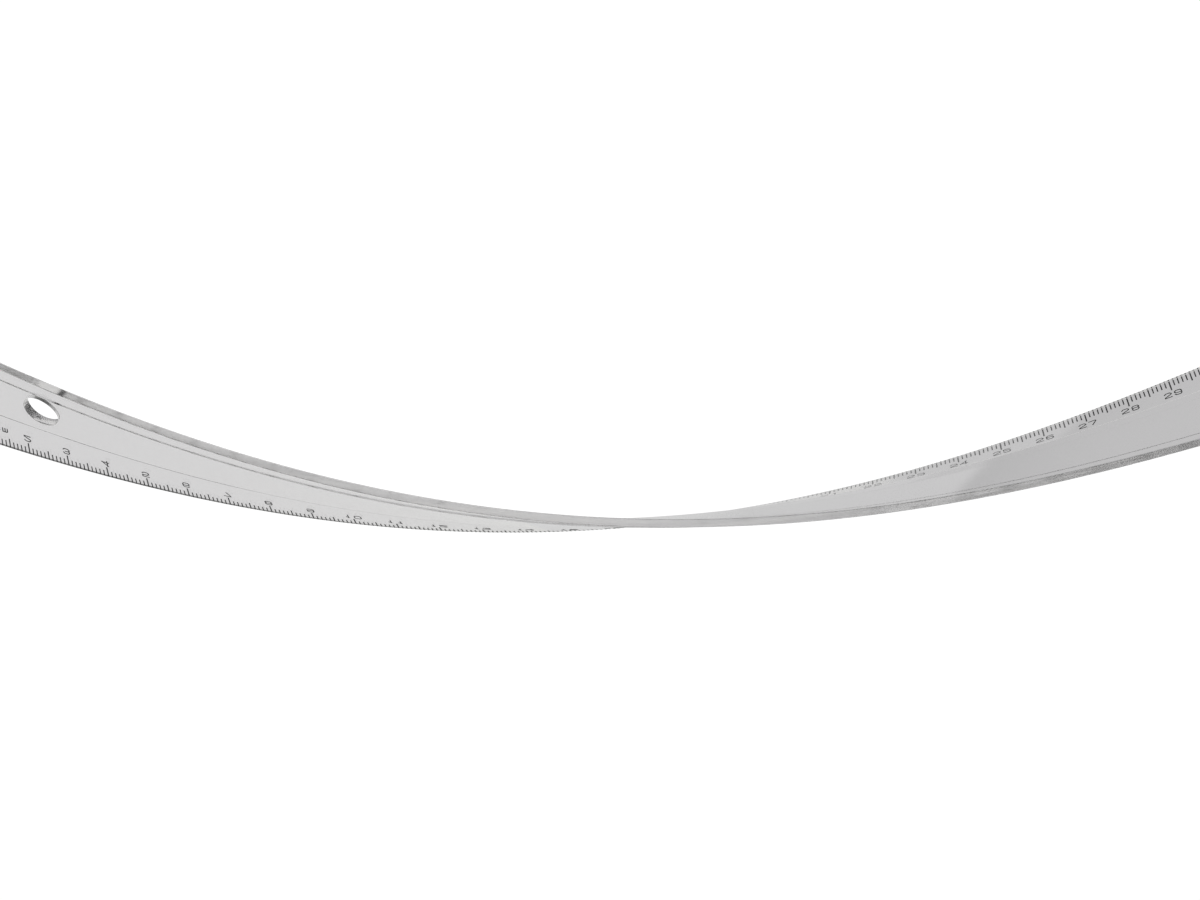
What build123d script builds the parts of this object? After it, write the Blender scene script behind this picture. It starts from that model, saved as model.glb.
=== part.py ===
from build123d import *
import os
from math import atan2, degrees, radians, tan

# A clear acrylic 30 cm ruler, held flexed and twisted in the hands. Millimetres.
# The blank is one moulded strip with a bevelled scale edge. The graduations and the
# numerals are printed on its flat underside and are read through the plastic.

os.makedirs("parts", exist_ok=True)

# Blank
SCALE_LENGTH = 300.0  # from the 0 line to the 30 line
END_MARGIN = 5.0  # plain stock beyond each end of the scale
WIDTH = 28.0  # from the scale edge to the thick back edge
THICKNESS = 2.1
EDGE_THICKNESS = 1.15  # left at the scale edge by the bevel
BEVEL_WIDTH = 10.0  # on the top face, along the scale edge
BEVEL_SHOULDER = 0.25  # step up to the top face where the bevel stops
LEDGE_WIDTH = 3.7  # undercut along the back edge, so that ink can't creep under
LEDGE_DEPTH = 0.3
EDGE_BREAK = 0.15  # 45 degree flats on the long outer edges
CORNER_RADIUS = 3.0  # corners of the two ends, in plan

# Hanging hole
HOLE_DIAMETER = 9.0
HOLE_READING = 25.0  # its centre, along the scale
HOLE_LAND = 1.3  # plain face between the hole and the ledge
HOLE_FROM_BACK = LEDGE_WIDTH + HOLE_LAND + HOLE_DIAMETER / 2

# Flexure of the middle line: both laws are even about the middle of the scale
BEND_RADIUS = 324.0  # at mid length; the ends curl up, towards the top face
BEND_RELIEF = 0.56  # share of that curvature lost at the ends of the scale
TWIST_RATE = 0.26  # degrees per millimetre at mid length
TWIST_GAIN = 0.10  # share by which the twist is faster at the ends of the scale

# Print
MILLIMETRE = 1.0
HALF_STEP = 5.0
CENTIMETRE = 10.0
LINE_START = EDGE_BREAK  # every graduation starts where the flat face does
MILLIMETRE_LINE = (0.28, 2.4)  # width and length
HALF_LINE = (0.30, 3.3)
CENTIMETRE_LINE = (0.32, 4.0)
FIGURE_SPACE = 0.6  # from the longest lines to the heads of the figures
DIGIT_HEIGHT = 2.2
DIGIT_WIDTH = 1.8
DIGIT_GAP = 0.55  # between two figures of one number
STROKE = 0.28  # of a figure's line
UNIT_SPACE = 0.5  # from the 1 to the unit mark
UNIT_HEIGHT = 1.5
UNIT_WIDTH = 1.5
INK_PROUD = 0.03  # the print stands off the face by this
INK_KEY = 0.02  # and keys into it by this
INK = INK_PROUD + INK_KEY

# Figures as strokes in a box of 1 by 1, with cut corners
CUT = 0.2
WAIST = 0.53
FIGURES = {
    "0": [
        [(CUT, 0), (0, CUT), (0, 1 - CUT), (CUT, 1), (1 - CUT, 1)]
        + [(1, 1 - CUT), (1, CUT), (1 - CUT, 0), (CUT, 0)],
    ],
    "1": [[(0.25, 0.75), (0.55, 1), (0.55, 0)]],
    "2": [
        [(0, 1 - CUT), (CUT, 1), (1 - CUT, 1), (1, 1 - CUT)]
        + [(1, 0.62), (0, 0.15), (0, 0), (1, 0)],
    ],
    "3": [
        [(0, 1 - CUT), (CUT, 1), (1 - CUT, 1), (1, 1 - CUT)]
        + [(1, WAIST + CUT / 2), (1 - CUT / 2, WAIST)],
        [(0.35, WAIST), (1 - CUT, WAIST), (1, WAIST - CUT), (1, CUT)]
        + [(1 - CUT, 0), (CUT, 0), (0, CUT)],
    ],
    "4": [[(0.75, 0), (0.75, 1), (0, 0.3), (1, 0.3)]],
    "5": [
        [(1, 1), (0, 1), (0, 0.58), (1 - CUT, 0.58), (1, 0.58 - CUT)]
        + [(1, CUT), (1 - CUT, 0), (CUT, 0), (0, CUT)],
    ],
    "6": [
        [(1, 1 - CUT), (1 - CUT, 1), (CUT, 1), (0, 1 - CUT)]
        + [(0, CUT), (CUT, 0), (1 - CUT, 0), (1, CUT)],
        [(1, CUT), (1, 0.56 - CUT), (1 - CUT, 0.56), (0, 0.56)],
    ],
    "7": [[(0, 1), (1, 1), (1, 0.8), (0.45, 0)]],
    "8": [
        [(CUT, WAIST), (0, WAIST + CUT / 2), (0, 1 - CUT), (CUT, 1)]
        + [(1 - CUT, 1), (1, 1 - CUT), (1, WAIST + CUT / 2)],
        [(1, WAIST + CUT / 2), (1 - CUT, WAIST), (1, WAIST - CUT)]
        + [(1, CUT), (1 - CUT, 0), (CUT, 0), (0, CUT)],
        [(0, CUT), (0, WAIST - CUT), (CUT, WAIST), (1 - CUT, WAIST)],
    ],
    "c": [
        [(1, 1 - CUT), (1 - CUT, 1), (CUT, 1), (0, 1 - CUT)]
        + [(0, CUT), (CUT, 0), (1 - CUT, 0), (1, CUT)],
    ],
    "m": [[(0, 0), (0, 1), (1 - CUT, 1), (1, 1 - CUT), (1, 0)], [(0.5, 1), (0.5, 0)]],
}
FIGURES["9"] = [[(1 - x, 1 - y) for x, y in stroke] for stroke in FIGURES["6"]]

MID = SCALE_LENGTH / 2
STEP = 1.0  # between the stored stations of the middle line


def curvature(reading):
    """Bend towards the top face, in radians per millimetre."""
    return (1 - BEND_RELIEF * ((reading - MID) / MID) ** 2) / BEND_RADIUS


def twist(reading):
    """Turn about the middle line, in radians per millimetre."""
    return radians(TWIST_RATE) * (1 + TWIST_GAIN * ((reading - MID) / MID) ** 2)


def advance(station, reading, step):
    """The cross-section plane one step further along the middle line.

    Its x axis runs across the ruler, from the scale edge to the back edge, its y axis
    is the top face's normal, and its z axis points back along the scale.
    """
    along, across = -station.z_dir, station.x_dir
    middle = reading + step / 2
    turn = along * twist(middle) + across * curvature(middle)
    axis = Axis((0, 0, 0), turn)
    angle = degrees(turn.length * step)
    heading = along.rotate(axis, angle / 2)
    return Plane(
        origin=station.origin + heading * step,
        x_dir=across.rotate(axis, angle),
        z_dir=-along.rotate(axis, angle),
    )


def walk(start, stop):
    """Stations of the middle line at every STEP from mid length out to stop."""
    sign = 1 if stop > MID else -1
    stations = {0: start}
    for n in range(int(abs(stop - MID) / STEP) + 1):
        stations[sign * (n + 1)] = advance(stations[sign * n], MID + sign * n * STEP, sign * STEP)
    return stations


def station_at(reading):
    """The cross-section plane at any reading of the scale."""
    n = round((reading - MID) / STEP)
    return advance(STATIONS[n], MID + n * STEP, reading - MID - n * STEP)


def underside(reading, from_edge):
    """Plane on the printed face: x along the scale, y towards the scale edge, z to the top face."""
    station = station_at(reading)
    across = station.x_dir * (from_edge - WIDTH / 2)
    slope = station.y_dir * (twist(reading) * (from_edge - WIDTH / 2))
    along = (-station.z_dir - slope).normalized()
    return Plane(
        origin=station.origin + across - station.y_dir * (THICKNESS / 2),
        x_dir=along,
        z_dir=station.x_dir.cross(along),
    )


# The middle of the scale lies along +X with the top face up and the back edge to -Y,
# and the whole ruler is then shifted so that the hanging hole's centre is the origin.
level = Plane(origin=(0, 0, 0), x_dir=(0, -1, 0), z_dir=(-1, 0, 0))
STATIONS = walk(level, -END_MARGIN) | walk(level, SCALE_LENGTH + END_MARGIN)
hole_bed = underside(HOLE_READING, WIDTH - HOLE_FROM_BACK)
hole_centre = hole_bed.origin + hole_bed.z_dir * (THICKNESS / 2)
STATIONS = {
    n: Plane(origin=s.origin - hole_centre, x_dir=s.x_dir, z_dir=s.z_dir)
    for n, s in STATIONS.items()
}

# Blank: one section carried along the flexed middle line
SECTION_PITCH = 10.0  # between the sections of the loft
CUT_CLEAR = THICKNESS  # a cutter starts and stops this far clear of the faces
CUT_HEIGHT = THICKNESS + 2 * CUT_CLEAR
BACK = WIDTH / 2
TOP = THICKNESS / 2
LENGTH = SCALE_LENGTH + 2 * END_MARGIN
spans = round(LENGTH / SECTION_PITCH)

with BuildPart() as blade:
    for n in range(spans + 1):
        with BuildSketch(station_at(-END_MARGIN + n * LENGTH / spans)) as section:
            with BuildLine():
                Polyline(
                    (-BACK, -TOP),
                    (-BACK, -TOP + EDGE_THICKNESS),
                    (-BACK + BEVEL_WIDTH, TOP - BEVEL_SHOULDER),
                    (-BACK + BEVEL_WIDTH, TOP),
                    (BACK, TOP),
                    (BACK, -TOP + LEDGE_DEPTH),
                    (BACK - LEDGE_WIDTH, -TOP + LEDGE_DEPTH),
                    (BACK - LEDGE_WIDTH, -TOP),
                    close=True,
                )
            make_face()
            columns = section.vertices().group_by(Axis.X)
            chamfer(columns[0] + columns[-1], EDGE_BREAK)
    loft()

    # Rounded end corners: what stands outside a quarter circle is cut away
    for reading, outward in ((-END_MARGIN, -1), (SCALE_LENGTH + END_MARGIN, 1)):
        for from_edge, sideways in ((0, 1), (WIDTH, -1)):
            corner = underside(reading, from_edge)
            with BuildSketch(corner.offset(-CUT_CLEAR)):
                inner = (-outward * CORNER_RADIUS, -sideways * CORNER_RADIUS)
                with Locations(inner):
                    Rectangle(
                        2 * CORNER_RADIUS,
                        2 * CORNER_RADIUS,
                        align=(
                            Align.MIN if outward > 0 else Align.MAX,
                            Align.MIN if sideways > 0 else Align.MAX,
                        ),
                    )
                    Circle(CORNER_RADIUS, mode=Mode.SUBTRACT)
            extrude(amount=CUT_HEIGHT, mode=Mode.SUBTRACT)

    # Hanging hole, square to the faces
    hole_bed = underside(HOLE_READING, WIDTH - HOLE_FROM_BACK)
    with BuildSketch(hole_bed.offset(-CUT_CLEAR)):
        Circle(HOLE_DIAMETER / 2)
    extrude(amount=CUT_HEIGHT, mode=Mode.SUBTRACT)

blade.part.label = "blade"
export_step(blade.part, "parts/blade.step")

# Graduations: every line is a thin bar of ink, square to the scale edge
def ruled_lines(readings, line):
    """Bars of ink on the underside, one at each reading."""
    width, length = line
    with BuildPart() as lines:
        beds = [underside(r, LINE_START + length / 2).offset(-INK_PROUD) for r in readings]
        with Locations(*beds):
            Box(width, length, INK, align=(Align.CENTER, Align.CENTER, Align.MIN))
    return lines


millimetres = [n * MILLIMETRE for n in range(round(SCALE_LENGTH / MILLIMETRE) + 1)]
centimetres = [r for r in millimetres if r % CENTIMETRE == 0]
half_steps = [r for r in millimetres if r % HALF_STEP == 0 and r % CENTIMETRE != 0]
fine_steps = [r for r in millimetres if r % HALF_STEP != 0]

millimetre_lines = ruled_lines(fine_steps, MILLIMETRE_LINE)
millimetre_lines.part.label = "millimetre_lines"
export_step(millimetre_lines.part, "parts/millimetre_lines.step")

half_centimetre_lines = ruled_lines(half_steps, HALF_LINE)
half_centimetre_lines.part.label = "half_centimetre_lines"
export_step(half_centimetre_lines.part, "parts/half_centimetre_lines.step")

centimetre_lines = ruled_lines(centimetres, CENTIMETRE_LINE)
centimetre_lines.part.label = "centimetre_lines"
export_step(centimetre_lines.part, "parts/centimetre_lines.step")


# Figures
def figure(strokes, width, height):
    """Outline of one figure, its strokes meeting in mitred corners, centred on its box."""
    with BuildSketch() as outline:
        for stroke in strokes:
            points = [
                Vector((x - 0.5) * (width - STROKE), (y - 0.5) * (height - STROKE))
                for x, y in stroke
            ]
            runs = [b - a for a, b in zip(points, points[1:])]
            joints = [
                STROKE / 2 * tan(radians(before.get_angle(after)) / 2)
                for before, after in zip(runs, runs[1:])
            ]
            reaches = [STROKE / 2, *joints, STROKE / 2]
            for start, run, near, far in zip(points, runs, reaches, reaches[1:]):
                left = start - run.normalized() * near
                slant = degrees(atan2(run.Y, run.X))
                with Locations(Location((left.X, left.Y, 0), (0, 0, slant))):
                    Rectangle(
                        near + run.length + far, STROKE, align=(Align.MIN, Align.CENTER)
                    )
    return outline.sketch


digits = {c: figure(FIGURES[c], DIGIT_WIDTH, DIGIT_HEIGHT) for c in "0123456789"}
DIGIT_PITCH = DIGIT_WIDTH + DIGIT_GAP
HEAD_LINE = LINE_START + CENTIMETRE_LINE[1] + FIGURE_SPACE  # heads of the figures
FOOT_LINE = HEAD_LINE + DIGIT_HEIGHT

for number in range(round(SCALE_LENGTH / CENTIMETRE) + 1):
    text = str(number)
    with BuildPart() as numeral:
        for place, character in enumerate(text):
            reading = number * CENTIMETRE + (place - (len(text) - 1) / 2) * DIGIT_PITCH
            bed = underside(reading, HEAD_LINE + DIGIT_HEIGHT / 2)
            with BuildSketch(bed.offset(-INK_PROUD)):
                add(digits[character])
        extrude(amount=INK)
    numeral.part.label = f"numeral_{number}"
    export_step(numeral.part, f"parts/numeral_{number}.step")

# Unit mark beside the 1, on the same foot line as the figures
unit_start = CENTIMETRE + DIGIT_WIDTH / 2 + UNIT_SPACE
with BuildPart() as unit_mark:
    for place, character in enumerate("cm"):
        reading = unit_start + UNIT_WIDTH / 2 + place * (UNIT_WIDTH + DIGIT_GAP)
        bed = underside(reading, FOOT_LINE - UNIT_HEIGHT / 2)
        with BuildSketch(bed.offset(-INK_PROUD)):
            add(figure(FIGURES[character], UNIT_WIDTH, UNIT_HEIGHT))
    extrude(amount=INK)
unit_mark.part.label = "unit_mark"
export_step(unit_mark.part, "parts/unit_mark.step")
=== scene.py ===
from math import atan2, cos, pi, radians, sin, sqrt

import bmesh
import bpy
from mathutils import Matrix, Quaternion, Vector


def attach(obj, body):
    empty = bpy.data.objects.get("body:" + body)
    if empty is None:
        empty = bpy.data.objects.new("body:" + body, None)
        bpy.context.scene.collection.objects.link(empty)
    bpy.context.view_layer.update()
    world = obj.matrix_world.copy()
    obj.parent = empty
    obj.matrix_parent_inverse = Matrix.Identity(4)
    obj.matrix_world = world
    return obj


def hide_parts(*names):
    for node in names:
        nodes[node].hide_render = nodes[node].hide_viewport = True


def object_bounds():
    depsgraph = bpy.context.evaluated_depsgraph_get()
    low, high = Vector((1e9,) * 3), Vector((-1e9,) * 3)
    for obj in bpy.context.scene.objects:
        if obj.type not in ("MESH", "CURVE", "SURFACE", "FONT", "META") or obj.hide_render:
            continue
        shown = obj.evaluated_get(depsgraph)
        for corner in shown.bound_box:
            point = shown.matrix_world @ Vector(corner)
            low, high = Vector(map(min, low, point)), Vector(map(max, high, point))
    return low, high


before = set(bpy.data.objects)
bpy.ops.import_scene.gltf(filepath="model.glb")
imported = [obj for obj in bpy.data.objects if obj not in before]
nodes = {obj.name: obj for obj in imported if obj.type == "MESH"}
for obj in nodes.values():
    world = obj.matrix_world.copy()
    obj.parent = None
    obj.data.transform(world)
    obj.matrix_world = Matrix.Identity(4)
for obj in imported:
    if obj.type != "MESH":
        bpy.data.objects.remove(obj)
cad_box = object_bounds()
MM = 0.001

# ---------------------------------------------------------------------------------------
# The middle line of the flexed ruler. Nothing is seen of it: it is the line that runs
# along the middle of the blank, bent towards the top face and turned about itself by the
# two hands that hold the ruler. The strip and its lines are made flat and then laid along it.
# ---------------------------------------------------------------------------------------
SCALE_LENGTH = 300 * MM
END_MARGIN = 5 * MM
WIDTH = 28 * MM
THICKNESS = 2.1 * MM
HOLE_READING = 25 * MM
HOLE_FROM_EDGE = 18.5 * MM
BEND_RADIUS = 324 * MM
BEND_RELIEF = 0.56
TWIST_RATE = radians(0.26) / MM
TWIST_GAIN = 0.10
STATION_PITCH = 1 * MM
MIDDLE = SCALE_LENGTH / 2


def curvature(reading):
    return (1 - BEND_RELIEF * ((reading - MIDDLE) / MIDDLE) ** 2) / BEND_RADIUS


def twist(reading):
    return TWIST_RATE * (1 + TWIST_GAIN * ((reading - MIDDLE) / MIDDLE) ** 2)


def walk(step, count):
    """Stations (place, along, left, up) from the middle of the scale outwards."""
    place = Vector((0, 0, 0))
    along, left, up = Vector((1, 0, 0)), Vector((0, 1, 0)), Vector((0, 0, 1))
    found = [(place, along, left, up)]
    for n in range(count):
        reading = MIDDLE + (n + 0.5) * step
        turn = (along * twist(reading) - left * curvature(reading)) * step
        half = Quaternion(turn.normalized(), turn.length / 2)
        whole = Quaternion(turn.normalized(), turn.length)
        place = place + (half @ along) * step
        along, left, up = whole @ along, whole @ left, whole @ up
        found.append((place, along, left, up))
    return found


half_count = round((MIDDLE + END_MARGIN) / STATION_PITCH)
backward = walk(-STATION_PITCH, half_count)
forward = walk(STATION_PITCH, half_count)
stations = backward[:0:-1] + forward

# The hanging hole's centre, at mid thickness, is the origin of the frame.
place, along, left, up = stations[round((HOLE_READING + END_MARGIN) / STATION_PITCH)]
offset = HOLE_FROM_EDGE - WIDTH / 2
slope = (along - up * twist(HOLE_READING) * offset).normalized()
hole_centre = place - left * offset - up * THICKNESS / 2 + slope.cross(left) * THICKNESS / 2
stations = [(p - hole_centre, a, l, u) for p, a, l, u in stations]

line_mesh = bpy.data.meshes.new("middle_line")
pairs = [(n, n + 1) for n in range(len(stations) - 1)]
line_mesh.from_pydata([p for p, a, l, u in stations], pairs, [])
for name, part in (("left", 2), ("up", 3)):
    held = line_mesh.attributes.new(name, "FLOAT_VECTOR", "POINT")
    held.data.foreach_set("vector", [c for station in stations for c in station[part]])
middle_line = bpy.data.objects.new("middle_line", line_mesh)
bpy.context.scene.collection.objects.link(middle_line)


def add(tree, kind, links=None, values=None, **settings):
    """Adds a node with its settings, its input values and the sockets linked to it."""
    made = tree.nodes.new(kind)
    for key, value in settings.items():
        setattr(made, key, value)
    for key, value in (values or {}).items():
        made.inputs[key].default_value = value
    for key, socket in (links or {}).items():
        tree.links.new(socket, made.inputs[key])
    return made


def new_tree(name, inputs):
    """A Geometry Nodes tree with a geometry in and out and the named inputs."""
    tree = bpy.data.node_groups.new(name, "GeometryNodeTree")
    tree.interface.new_socket("Geometry", in_out="INPUT", socket_type="NodeSocketGeometry")
    for label, kind in inputs:
        tree.interface.new_socket(label, in_out="INPUT", socket_type=kind)
    tree.interface.new_socket("Geometry", in_out="OUTPUT", socket_type="NodeSocketGeometry")
    return tree


def use_tree(piece, tree, inputs):
    """Puts the tree on a piece as a modifier and sets its named inputs."""
    modifier = piece.modifiers.new(tree.name, "NODES")
    modifier.node_group = tree
    sockets = {s.name: s.identifier for s in tree.interface.items_tree if s.in_out == "INPUT"}
    for label, value in inputs.items():
        modifier[sockets[label]] = value


def finish_mesh(piece):
    """Turns what the modifiers make into the piece's own plain mesh."""
    bpy.context.view_layer.update()
    graph = bpy.context.evaluated_depsgraph_get()
    made = bpy.data.meshes.new_from_object(
        piece.evaluated_get(graph), preserve_all_data_layers=True, depsgraph=graph
    )
    piece.modifiers.clear()
    piece.data = made
    made.name = piece.name


# Flex: x along the scale, y to the left of it and z up from the underside, all flat,
# become a place on the flexed ruler. Cross-sections stay straight and square to the line.
flex = new_tree(
    "flex",
    [
        ("Middle line", "NodeSocketObject"),
        ("Start", "NodeSocketFloat"),
        ("Width", "NodeSocketFloat"),
        ("Thickness", "NodeSocketFloat"),
        ("Material", "NodeSocketMaterial"),
    ],
)
given = add(flex, "NodeGroupInput")
line = add(flex, "GeometryNodeObjectInfo", {"Object": given.outputs["Middle line"]})
curve = add(flex, "GeometryNodeMeshToCurve", {"Mesh": line.outputs["Geometry"]})
flat = add(flex, "GeometryNodeInputPosition")
flat_split = add(flex, "ShaderNodeSeparateXYZ", {"Vector": flat.outputs["Position"]})
distance = add(
    flex,
    "ShaderNodeMath",
    {0: flat_split.outputs["X"], 1: given.outputs["Start"]},
    operation="SUBTRACT",
)
from_middle = add(
    flex,
    "ShaderNodeMath",
    {0: given.outputs["Width"], 2: flat_split.outputs["Y"]},
    {1: 0.5},
    operation="MULTIPLY_ADD",
)
from_core = add(
    flex,
    "ShaderNodeMath",
    {0: given.outputs["Thickness"], 2: flat_split.outputs["Z"]},
    {1: -0.5},
    operation="MULTIPLY_ADD",
)
steps = []
for name, amount in (("left", from_middle), ("up", from_core)):
    stored = add(
        flex, "GeometryNodeInputNamedAttribute", values={"Name": name}, data_type="FLOAT_VECTOR"
    )
    sampled = add(
        flex,
        "GeometryNodeSampleCurve",
        {
            "Curves": curve.outputs["Curve"],
            "Value": stored.outputs["Attribute"],
            "Length": distance.outputs["Value"],
        },
        mode="LENGTH",
        data_type="FLOAT_VECTOR",
    )
    scaled = add(
        flex,
        "ShaderNodeVectorMath",
        {0: sampled.outputs["Value"], "Scale": amount.outputs["Value"]},
        operation="SCALE",
    )
    steps.append(scaled)
on_section = add(
    flex, "ShaderNodeVectorMath", {0: steps[0].outputs[0], 1: steps[1].outputs[0]}, operation="ADD"
)
flexed = add(
    flex,
    "ShaderNodeVectorMath",
    {0: sampled.outputs["Position"], 1: on_section.outputs[0]},
    operation="ADD",
)
kept_flat = add(
    flex,
    "GeometryNodeStoreNamedAttribute",
    {"Geometry": given.outputs["Geometry"], "Value": flat.outputs["Position"]},
    {"Name": "flat"},
    data_type="FLOAT_VECTOR",
    domain="POINT",
)
moved = add(
    flex,
    "GeometryNodeSetPosition",
    {"Geometry": kept_flat.outputs["Geometry"], "Position": flexed.outputs[0]},
)
real = add(flex, "GeometryNodeRealizeInstances", {"Geometry": moved.outputs["Geometry"]})
dressed = add(
    flex,
    "GeometryNodeSetMaterial",
    {"Geometry": real.outputs["Geometry"], "Material": given.outputs["Material"]},
)
add(flex, "NodeGroupOutput", {"Geometry": dressed.outputs["Geometry"]})


def flex_piece(piece, material):
    """Lays a flat piece along the middle line."""
    inputs = {
        "Middle line": middle_line,
        "Start": -END_MARGIN,
        "Width": WIDTH,
        "Thickness": THICKNESS,
        "Material": material,
    }
    use_tree(piece, flex, inputs)


# ---------------------------------------------------------------------------------------
# Blade: the ruler itself, one strip of clear acrylic, moulded with a bevel along the scale
# edge and a shallow undercut along the back edge that keeps wet ink from creeping under
# it. The hanging hole is moulded in. The faces are polished, the long edges and ends satin.
# ---------------------------------------------------------------------------------------
EDGE_THICKNESS = 1.15 * MM
BEVEL_WIDTH = 10 * MM
BEVEL_SHOULDER = 0.25 * MM  # step up to the top face where the bevel stops
SHOULDER_RUN = 0.05 * MM  # the shoulder's draft: how far it leans back
LEDGE_WIDTH = 3.7 * MM
LEDGE_DEPTH = 0.3 * MM
EDGE_BREAK = 0.15 * MM
CORNER_RADIUS = 3 * MM
HOLE_RADIUS = 4.5 * MM

# Roundings: the back edge and the ends have the full one, the rest a share of it.
BACK_ROUND = 0.25 * MM
ROUND_STEPS = 4
HOLE_RIM = 0.4
SCALE_RIM = 0.2
LEDGE_SOFTNESS = 0.55

# Finish: roughness and the height of the fine lengthwise lines, on the faces and the edges.
FACE_ROUGHNESS = (0.02, 0.045)
EDGE_ROUGHNESS = 0.28
FACE_LINES = 0.002 * MM
EDGE_LINES = 0.03 * MM
LINES_PER_METRE = (6.0, 2200.0, 2200.0)
HAZE_PER_METRE = 60.0
HOLE_SATIN = 0.4  # the hole's wall is less dull than the edges

# Mesh: how finely the strip is divided.
CORNER_STEPS = 6
BEVEL_PITCH = 1.5 * MM
LAND_PITCH = 1.1 * MM
END_ZONE = 8 * MM  # stretch over which the rows bend to follow the round corners
HOLE_WINDOW = 7 * MM  # from the hole's centre to where the rows give way to rings
RINGS = 4


def linear(code):
    """A colour given as sRGB hex, in linear light."""
    parts = [int(code[n : n + 2], 16) / 255 for n in (1, 3, 5)]
    return [c / 12.92 if c <= 0.04045 else ((c + 0.055) / 1.055) ** 2.4 for c in parts] + [1]


def clear_acrylic():
    """Clear acrylic (PMMA): water-clear and glossy on the faces, so that light and print
    show through crisply, and satin with fine lengthwise lines on the moulded edges."""
    made = bpy.data.materials.new("clear_acrylic")
    made.use_nodes = True
    tree = made.node_tree
    tree.nodes.clear()
    place = add(tree, "ShaderNodeAttribute", attribute_name="flat")
    haze = add(
        tree,
        "ShaderNodeTexNoise",
        {"Vector": place.outputs["Vector"]},
        {"Scale": HAZE_PER_METRE, "Detail": 4.0, "Roughness": 0.6},
    )
    rough = add(
        tree,
        "ShaderNodeMapRange",
        {"Value": haze.outputs["Fac"]},
        {
            "From Min": 0.3,
            "From Max": 0.75,
            "To Min": FACE_ROUGHNESS[0],
            "To Max": FACE_ROUGHNESS[1],
        },
    )
    satin = add(tree, "ShaderNodeAttribute", attribute_name="satin")
    dulled = add(
        tree,
        "ShaderNodeMix",
        {"Factor": satin.outputs["Fac"], "A": rough.outputs["Result"]},
        {"B": EDGE_ROUGHNESS},
        data_type="FLOAT",
    )
    drawn = add(
        tree,
        "ShaderNodeMapping",
        {"Vector": place.outputs["Vector"]},
        {"Scale": LINES_PER_METRE},
    )
    lines = add(
        tree,
        "ShaderNodeTexNoise",
        {"Vector": drawn.outputs["Vector"]},
        {"Scale": 1.0, "Detail": 1.0},
    )
    depth = add(
        tree,
        "ShaderNodeMix",
        {"Factor": satin.outputs["Fac"]},
        {"A": FACE_LINES, "B": EDGE_LINES},
        data_type="FLOAT",
    )
    relief = add(
        tree,
        "ShaderNodeBump",
        {"Height": lines.outputs["Fac"], "Distance": depth.outputs["Result"]},
        {"Strength": 1.0},
    )
    surface = add(
        tree,
        "ShaderNodeBsdfPrincipled",
        {"Roughness": dulled.outputs["Result"], "Normal": relief.outputs["Normal"]},
        {"Base Color": linear("#f5f4f5"), "IOR": 1.49, "Transmission Weight": 1.0},
    )
    body = add(
        tree, "ShaderNodeVolumeAbsorption", values={"Color": linear("#2c2d2c"), "Density": 2.5}
    )
    add(
        tree,
        "ShaderNodeOutputMaterial",
        {"Surface": surface.outputs["BSDF"], "Volume": body.outputs["Volume"]},
    )
    return made


acrylic = clear_acrylic()

corner_columns = [CORNER_RADIUS * (1 - cos(pi / 2 * k / CORNER_STEPS)) for k in range(CORNER_STEPS)]


def even(start, stop, pitch):
    """Even places from start up to stop, no further apart than pitch."""
    count = round((stop - start) / pitch + 0.5)
    return [start + (stop - start) * k / count for k in range(count)]


land_start, land_stop = BEVEL_WIDTH + SHOULDER_RUN, WIDTH - LEDGE_WIDTH
columns = corner_columns + even(CORNER_RADIUS, BEVEL_WIDTH, BEVEL_PITCH) + [BEVEL_WIDTH]
bevel_line = len(columns)
columns += even(land_start, land_stop, LAND_PITCH)
ledge_line = len(columns)
columns += [land_stop] + [WIDTH - c for c in (CORNER_RADIUS, *corner_columns[:0:-1], 0)]
readings = [n * STATION_PITCH - END_MARGIN for n in range(len(stations))]
hole_rows = (
    readings.index(min(readings, key=lambda r: abs(r - HOLE_READING + HOLE_WINDOW))),
    readings.index(min(readings, key=lambda r: abs(r - HOLE_READING - HOLE_WINDOW))),
)


def plan_reading(reading, from_edge):
    """Where a row's point lies along the scale, drawn in at the ends by the round corners."""
    near = min(from_edge, WIDTH - from_edge)
    drawn_in = 0
    if near < CORNER_RADIUS:
        drawn_in = CORNER_RADIUS - sqrt(CORNER_RADIUS**2 - (CORNER_RADIUS - near) ** 2)
    for end, inwards in ((-END_MARGIN, 1), (SCALE_LENGTH + END_MARGIN, -1)):
        share = 1 - (reading - end) * inwards / END_ZONE
        if share > 0:
            reading += inwards * drawn_in * share
    return reading


def top_height(from_edge):
    """The top face's height: the bevel, its small shoulder, then full thickness."""
    if from_edge > BEVEL_WIDTH:
        return THICKNESS
    rise = THICKNESS - BEVEL_SHOULDER - EDGE_THICKNESS
    return EDGE_THICKNESS + rise * from_edge / BEVEL_WIDTH


bm = bmesh.new()
weight = bm.edges.layers.float.new("bevel_weight_edge")
satin = bm.faces.layers.float.new("satin")
top, low, raised = [], [], []
for reading in readings:
    plan = [(plan_reading(reading, c), -c) for c in columns]
    top.append([bm.verts.new((x, y, top_height(-y))) for x, y in plan])
    low.append([bm.verts.new((x, y, 0)) for x, y in plan[: ledge_line + 1]])
    raised.append([bm.verts.new((x, y, LEDGE_DEPTH)) for x, y in plan[ledge_line:]])


def in_window(row, column):
    return hole_rows[0] <= row < hole_rows[1] and bevel_line <= column < ledge_line


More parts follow.
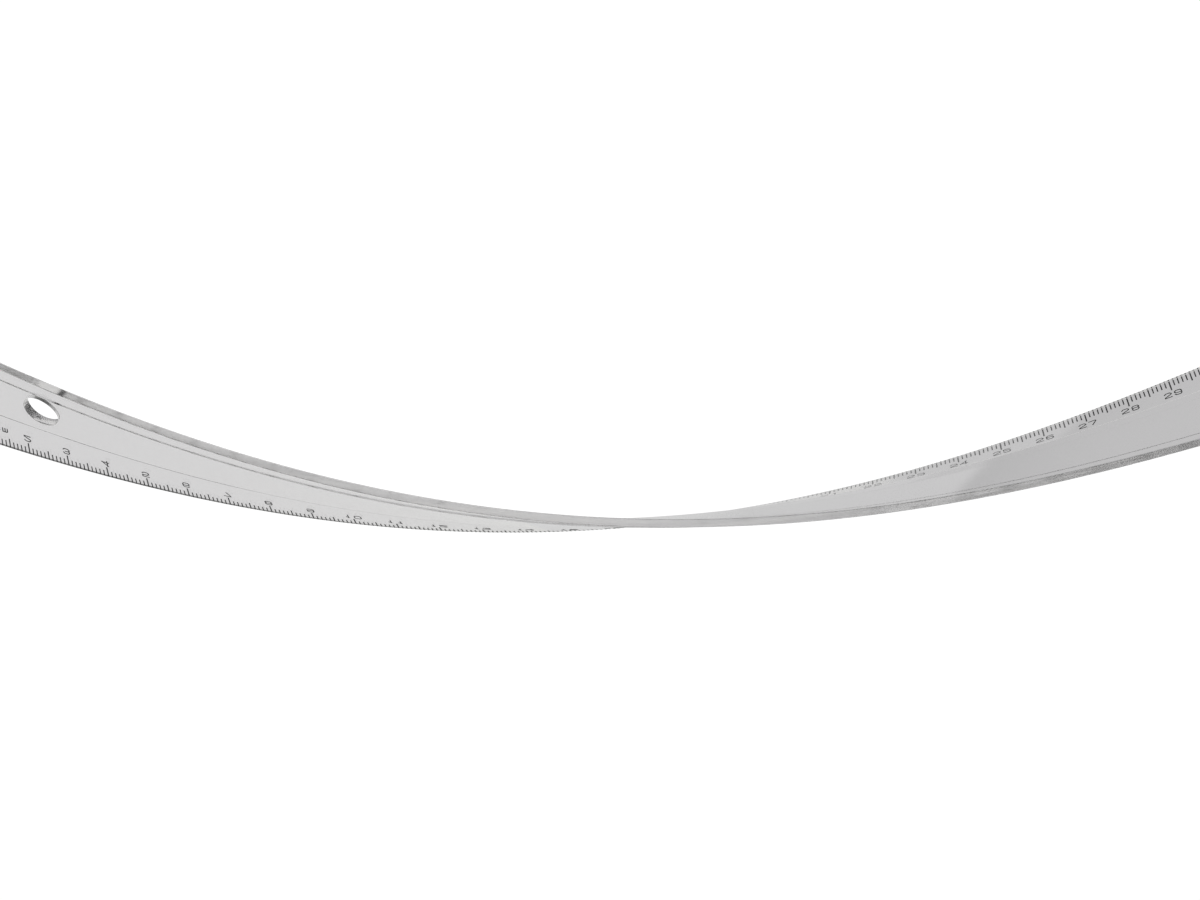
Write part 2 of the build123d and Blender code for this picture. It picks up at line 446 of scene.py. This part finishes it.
for i in range(len(readings) - 1):
    for j in range(len(columns) - 1):
        if not in_window(i, j):
            bm.faces.new((top[i][j], top[i + 1][j], top[i + 1][j + 1], top[i][j + 1]))
        if j < ledge_line and not in_window(i, j):
            bm.faces.new((low[i][j], low[i][j + 1], low[i + 1][j + 1], low[i + 1][j]))
        if j >= ledge_line:
            k = j - ledge_line
            bm.faces.new((raised[i][k], raised[i][k + 1], raised[i + 1][k + 1], raised[i + 1][k]))
    ledge = bm.faces.new((low[i][-1], raised[i][0], raised[i + 1][0], low[i + 1][-1]))
    scale_edge = bm.faces.new((low[i][0], low[i + 1][0], top[i + 1][0], top[i][0]))
    back_edge = bm.faces.new((raised[i][-1], top[i][-1], top[i + 1][-1], raised[i + 1][-1]))
    ledge[satin] = scale_edge[satin] = back_edge[satin] = 1
rims = []
for i in (0, len(readings) - 1):
    under = low[i] + raised[i]
    over = top[i][: ledge_line + 1] + top[i][ledge_line:]
    for a, b, c, d in zip(under, under[1:], over[1:], over):
        bm.faces.new(dict.fromkeys((a, b, c, d)))[satin] = 1
    rims += list(zip(top[i], top[i][1:])) + list(zip(under, under[1:]))
for column in ([r[-1] for r in top], [r[-1] for r in raised]):
    rims += list(zip(column, column[1:]))
scale_rims = []
for column in ([r[0] for r in top], [r[0] for r in low]):
    scale_rims += list(zip(column, column[1:]))

# Round the hole the rows and columns give way to rings, from a square to the circle.
first, last = hole_rows
window = [(i, bevel_line) for i in range(first, last)]
window += [(last, j) for j in range(bevel_line, ledge_line)]
window += [(i, ledge_line) for i in range(last, first, -1)]
window += [(first, j) for j in range(ledge_line, bevel_line, -1)]
hole_loops = []
for grid, height in ((top, THICKNESS), (low, 0)):
    loop = [grid[i][j] for i, j in window]
    start = [v.co.copy() for v in loop]
    circle = []
    for corner in start:
        a = atan2(corner.y + HOLE_FROM_EDGE, corner.x - HOLE_READING)
        x = HOLE_READING + HOLE_RADIUS * cos(a)
        y = HOLE_RADIUS * sin(a) - HOLE_FROM_EDGE
        circle.append(Vector((x, y, height)))
    for k in range(1, RINGS + 1):
        ring = [bm.verts.new(s.lerp(c, k / RINGS)) for s, c in zip(start, circle)]
        for n in range(len(ring)):
            m = (n + 1) % len(ring)
            bm.faces.new((loop[n], loop[m], ring[m], ring[n]))
        loop = ring
    hole_loops.append(loop)
over, under = hole_loops
for n in range(len(over)):
    m = (n + 1) % len(over)
    bm.faces.new((over[n], over[m], under[m], under[n]))[satin] = HOLE_SATIN
bmesh.ops.recalc_face_normals(bm, faces=bm.faces)
for edges, share in ((rims, 1), (scale_rims, SCALE_RIM)):
    for a, b in edges:
        edge = bm.edges.get((a, b))
        if edge:
            edge[weight] = share
for loop in hole_loops:
    for a, b in zip(loop, loop[1:] + loop[:1]):
        bm.edges.get((a, b))[weight] = HOLE_RIM
for face in bm.faces:
    face.smooth = True
for crease in ([r[bevel_line - 1] for r in top], [r[bevel_line] for r in top]):
    for a, b in zip(crease, crease[1:]):
        bm.edges.get((a, b)).smooth = False
for foot in ([r[-1] for r in low], [r[0] for r in raised]):
    for a, b in zip(foot, foot[1:]):
        bm.edges.get((a, b))[weight] = LEDGE_SOFTNESS

blade_mesh = bpy.data.meshes.new("blade_acrylic")
bm.to_mesh(blade_mesh)
bm.free()
blade = bpy.data.objects.new("blade_acrylic", blade_mesh)
bpy.context.scene.collection.objects.link(blade)
flex_piece(blade, acrylic)
rounding = blade.modifiers.new("broken_edges", "BEVEL")
rounding.width = BACK_ROUND
rounding.segments = ROUND_STEPS
rounding.limit_method = "WEIGHT"
rounding.harden_normals = True
rounding.use_clamp_overlap = False
finish_mesh(blade)
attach(blade, "root")
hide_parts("blade")

# ---------------------------------------------------------------------------------------
# Graduations: black lines screen-printed on the flat underside, square to the scale edge
# and read through the plastic. Long lines mark the centimetres, middling ones the halves.
# ---------------------------------------------------------------------------------------
LINE_START = EDGE_BREAK
INK_PROUD = 0.03 * MM
INK_KEY = 0.02 * MM
PRINT_CORNER = 0.04 * MM


def printing_ink():
    """Black screen-printing ink: a thin matt film, a little uneven in density."""
    made = bpy.data.materials.new("black_printing_ink")
    made.use_nodes = True
    tree = made.node_tree
    tree.nodes.clear()
    place = add(tree, "ShaderNodeTexCoord")
    grain = add(
        tree,
        "ShaderNodeTexNoise",
        {"Vector": place.outputs["Object"]},
        {"Scale": 4000.0, "Detail": 3.0},
    )
    tone = add(
        tree,
        "ShaderNodeMix",
        {"Factor": grain.outputs["Fac"]},
        {"A": linear("#0e0e10"), "B": linear("#2a2a2e")},
        data_type="RGBA",
    )
    surface = add(
        tree,
        "ShaderNodeBsdfPrincipled",
        {"Base Color": tone.outputs["Result"]},
        {"Roughness": 0.55, "IOR": 1.5},
    )
    add(tree, "ShaderNodeOutputMaterial", {"Surface": surface.outputs["BSDF"]})
    return made


ink = printing_ink()

ruling = new_tree(
    "ruling",
    [
        ("First", "NodeSocketFloat"),
        ("Pitch", "NodeSocketFloat"),
        ("Count", "NodeSocketInt"),
        ("Left out", "NodeSocketInt"),
        ("Width", "NodeSocketFloat"),
        ("Length", "NodeSocketFloat"),
        ("From edge", "NodeSocketFloat"),
        ("Proud", "NodeSocketFloat"),
        ("Film", "NodeSocketFloat"),
        ("Corner", "NodeSocketFloat"),
        ("Material", "NodeSocketMaterial"),
    ],
)
given = add(ruling, "NodeGroupInput")
half_length = add(
    ruling,
    "ShaderNodeMath",
    {0: given.outputs["Length"], 2: given.outputs["From edge"]},
    {1: 0.5},
    operation="MULTIPLY_ADD",
)
bar_y = add(ruling, "ShaderNodeMath", {0: half_length.outputs[0]}, {1: -1.0}, operation="MULTIPLY")
bar_z = add(ruling, "ShaderNodeMath", {0: given.outputs["Proud"]}, {1: -1.0}, operation="MULTIPLY")
start = add(
    ruling,
    "ShaderNodeCombineXYZ",
    {"X": given.outputs["First"], "Y": bar_y.outputs[0], "Z": bar_z.outputs[0]},
)
stride = add(ruling, "ShaderNodeCombineXYZ", {"X": given.outputs["Pitch"]})
row = add(
    ruling,
    "GeometryNodeMeshLine",
    {
        "Count": given.outputs["Count"],
        "Start Location": start.outputs["Vector"],
        "Offset": stride.outputs["Vector"],
    },
)
index = add(ruling, "GeometryNodeInputIndex")
every = add(
    ruling,
    "ShaderNodeMath",
    {0: index.outputs["Index"], 1: given.outputs["Left out"]},
    operation="MODULO",
)
on_a_longer_line = add(
    ruling,
    "FunctionNodeCompare",
    {"A": every.outputs[0]},
    {"B": 0.0},
    operation="EQUAL",
    data_type="FLOAT",
)
own_lines = add(
    ruling,
    "GeometryNodeDeleteGeometry",
    {"Geometry": row.outputs["Mesh"], "Selection": on_a_longer_line.outputs["Result"]},
    domain="POINT",
)
outline = add(
    ruling,
    "GeometryNodeCurvePrimitiveQuadrilateral",
    {"Width": given.outputs["Width"], "Height": given.outputs["Length"]},
    mode="RECTANGLE",
)
softened = add(
    ruling,
    "GeometryNodeFilletCurve",
    {"Curve": outline.outputs["Curve"], "Radius": given.outputs["Corner"]},
    {"Count": 2},
    mode="POLY",
)
base = add(ruling, "GeometryNodeFillCurve", {"Curve": softened.outputs["Curve"]}, mode="NGONS")
film_up = add(ruling, "ShaderNodeCombineXYZ", {"Z": given.outputs["Film"]})
raised_film = add(
    ruling,
    "GeometryNodeExtrudeMesh",
    {"Mesh": base.outputs["Mesh"], "Offset": film_up.outputs["Vector"]},
    {"Offset Scale": 1.0},
    mode="FACES",
)
under_face = add(ruling, "GeometryNodeFlipFaces", {"Mesh": base.outputs["Mesh"]})
both = add(ruling, "GeometryNodeJoinGeometry", {"Geometry": raised_film.outputs["Mesh"]})
ruling.links.new(under_face.outputs["Mesh"], both.inputs["Geometry"])
bar = add(
    ruling,
    "GeometryNodeMergeByDistance",
    {"Geometry": both.outputs["Geometry"]},
    {"Distance": 0.001 * MM},
)
placed = add(
    ruling,
    "GeometryNodeInstanceOnPoints",
    {"Points": own_lines.outputs["Geometry"], "Instance": bar.outputs["Geometry"]},
)
real = add(ruling, "GeometryNodeRealizeInstances", {"Geometry": placed.outputs["Instances"]})
dressed = add(
    ruling,
    "GeometryNodeSetMaterial",
    {"Geometry": real.outputs["Geometry"], "Material": given.outputs["Material"]},
)
add(ruling, "NodeGroupOutput", {"Geometry": dressed.outputs["Geometry"]})

CENTIMETRES = round(SCALE_LENGTH / (10 * MM))
# The first place of a row is always left out, as 0 is a multiple of every number. That is
# right for the millimetre lines. The other two rows lack their first line because of it:
# the half-centimetre line at 5 mm and the centimetre line at 0.
FAMILIES = (
    # node, first reading, pitch, how many, every how many left out, line width and length
    ("millimetre_lines", 0, 1 * MM, 10 * CENTIMETRES + 1, 5, 0.28 * MM, 2.4 * MM),
    ("half_centimetre_lines", 5 * MM, 10 * MM, CENTIMETRES, 0, 0.30 * MM, 3.3 * MM),
    ("centimetre_lines", 0, 10 * MM, CENTIMETRES + 1, 0, 0.32 * MM, 4.0 * MM),
)
for node, first, pitch, count, left_out, width, length in FAMILIES:
    printed = bpy.data.objects.new(node + "_print", bpy.data.meshes.new(node + "_print"))
    bpy.context.scene.collection.objects.link(printed)
    lines = {
        "First": first,
        "Pitch": pitch,
        "Count": count,
        "Left out": left_out or 10 * count,
        "Width": width,
        "Length": length,
        "From edge": LINE_START,
        "Proud": INK_PROUD,
        "Film": INK_PROUD + INK_KEY,
        "Corner": PRINT_CORNER,
        "Material": ink,
    }
    use_tree(printed, ruling, lines)
    flex_piece(printed, ink)
    finish_mesh(printed)
    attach(printed, "root")
    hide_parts(node)

# ---------------------------------------------------------------------------------------
# Figures and unit mark: the numbers of the centimetres and the unit beside the 1, in the
# same ink and the same pass as the lines.
# ---------------------------------------------------------------------------------------
for name, node in nodes.items():
    if name.startswith("numeral_") or name == "unit_mark":
        for slot in node.material_slots:
            slot.material = ink

bpy.data.objects.remove(middle_line)

# ---------------------------------------------------------------------------------------
# Studio: a pale floor well below the hands and white all round. What the plastic mirrors
# and bends is a paler wall with a darker room over and behind it.
# ---------------------------------------------------------------------------------------
FLOOR_DROP = 1.3
FLOOR_RADIUS = 12.0
FLOOR_SIDES = 96
WHITE_STRENGTH = 1.05
LEAN = 0.55  # how far the pale wall's upper edge leans from level
ROOM_LEVELS = (
    # how high a direction points, with the lean, and how light the room is there
    (0.0, 0.60),
    (0.15, 0.60),
    (0.25, 0.54),
    (0.592, 0.56),
    (0.612, 0.22),
    (0.75, 0.34),
    (1.0, 0.40),
)
floor_mesh = bpy.data.meshes.new("floor")
bm = bmesh.new()
bmesh.ops.create_circle(bm, cap_ends=True, segments=FLOOR_SIDES, radius=FLOOR_RADIUS)
bmesh.ops.translate(bm, verts=bm.verts, vec=(0, 0, cad_box[0].z - FLOOR_DROP))
bm.to_mesh(floor_mesh)
bm.free()
floor = bpy.data.objects.new("floor", floor_mesh)
bpy.context.scene.collection.objects.link(floor)
paper = bpy.data.materials.new("pale_floor")
paper.use_nodes = True
tree = paper.node_tree
tree.nodes.clear()
matt = add(tree, "ShaderNodeBsdfDiffuse", values={"Color": linear("#e2e2e0")})
add(tree, "ShaderNodeOutputMaterial", {"Surface": matt.outputs["BSDF"]})
floor_mesh.materials.append(paper)

world = bpy.data.worlds.new("studio")
bpy.context.scene.world = world
world.use_nodes = True
tree = world.node_tree
tree.nodes.clear()
ray = add(tree, "ShaderNodeLightPath")
white = add(
    tree,
    "ShaderNodeBackground",
    values={"Color": linear("#ffffff"), "Strength": WHITE_STRENGTH},
)
direction = add(tree, "ShaderNodeTexCoord")
axes = add(tree, "ShaderNodeSeparateXYZ", {"Vector": direction.outputs["Generated"]})
tilted = add(
    tree,
    "ShaderNodeMath",
    {0: axes.outputs["X"], 2: axes.outputs["Z"]},
    {1: LEAN},
    operation="MULTIPLY_ADD",
)
height = add(tree, "ShaderNodeValToRGB", {"Fac": tilted.outputs["Value"]})
ramp = height.color_ramp
ramp.interpolation = "LINEAR"
for between in ROOM_LEVELS[1:-1]:
    ramp.elements.new(between[0])
for element, (at, lightness) in zip(ramp.elements, ROOM_LEVELS):
    element.position = at
    element.color = (lightness, lightness, lightness, 1)
sideways = add(
    tree,
    "ShaderNodeMapRange",
    {"Value": axes.outputs["X"]},
    {"From Min": -0.20, "From Max": 0.06, "To Min": 1.17, "To Max": 1.0},
    interpolation_type="SMOOTHSTEP",
)
behind = add(
    tree,
    "ShaderNodeMapRange",
    {"Value": axes.outputs["Y"]},
    {"From Min": -0.35, "From Max": 0.05, "To Min": 0.10, "To Max": 1.0},
    interpolation_type="SMOOTHSTEP",
)
strength = add(
    tree,
    "ShaderNodeMath",
    {0: sideways.outputs["Result"], 1: behind.outputs["Result"]},
    operation="MULTIPLY",
)
room = add(
    tree,
    "ShaderNodeBackground",
    {"Color": height.outputs["Color"], "Strength": strength.outputs["Value"]},
)
soft = add(
    tree,
    "ShaderNodeMath",
    {0: ray.outputs["Is Camera Ray"], 1: ray.outputs["Is Diffuse Ray"]},
    operation="MAXIMUM",
)
chosen = add(
    tree,
    "ShaderNodeMixShader",
    {0: soft.outputs["Value"], 1: room.outputs[0], 2: white.outputs[0]},
)
add(tree, "ShaderNodeOutputWorld", {"Surface": chosen.outputs["Shader"]})

# ---------------------------------------------------------------------------------------
# Camera: a long lens, a little below the ruler and almost square to its middle.
# ---------------------------------------------------------------------------------------
LENS = 93.05
SENSOR_WIDTH = 36
ROLL = radians(1.41)
EYE_FROM_MIDDLE = Vector((80.363, -695.726, -40.868)) * MM
SIGHT_LINE = Vector((-0.10367, 0.99123, 0.08198))
middle = stations[half_count][0]
eye = middle + EYE_FROM_MIDDLE
camera_data = bpy.data.cameras.new("camera")
camera_data.lens = LENS
camera_data.sensor_width = SENSOR_WIDTH
camera_data.clip_start, camera_data.clip_end = 0.01, 100
camera = bpy.data.objects.new("camera", camera_data)
bpy.context.scene.collection.objects.link(camera)
aim = SIGHT_LINE.to_track_quat("-Z", "Y").to_matrix().to_4x4()
camera.matrix_world = Matrix.Translation(eye) @ aim @ Matrix.Rotation(ROLL, 4, "Z")
bpy.context.scene.camera = camera

view = bpy.context.scene.view_settings
view.view_transform = "Standard"
view.look = "None"
cycles = bpy.context.scene.cycles
cycles.max_bounces = 48  # light runs a long way inside the clear strip
cycles.transmission_bounces = 48
cycles.glossy_bounces = 24
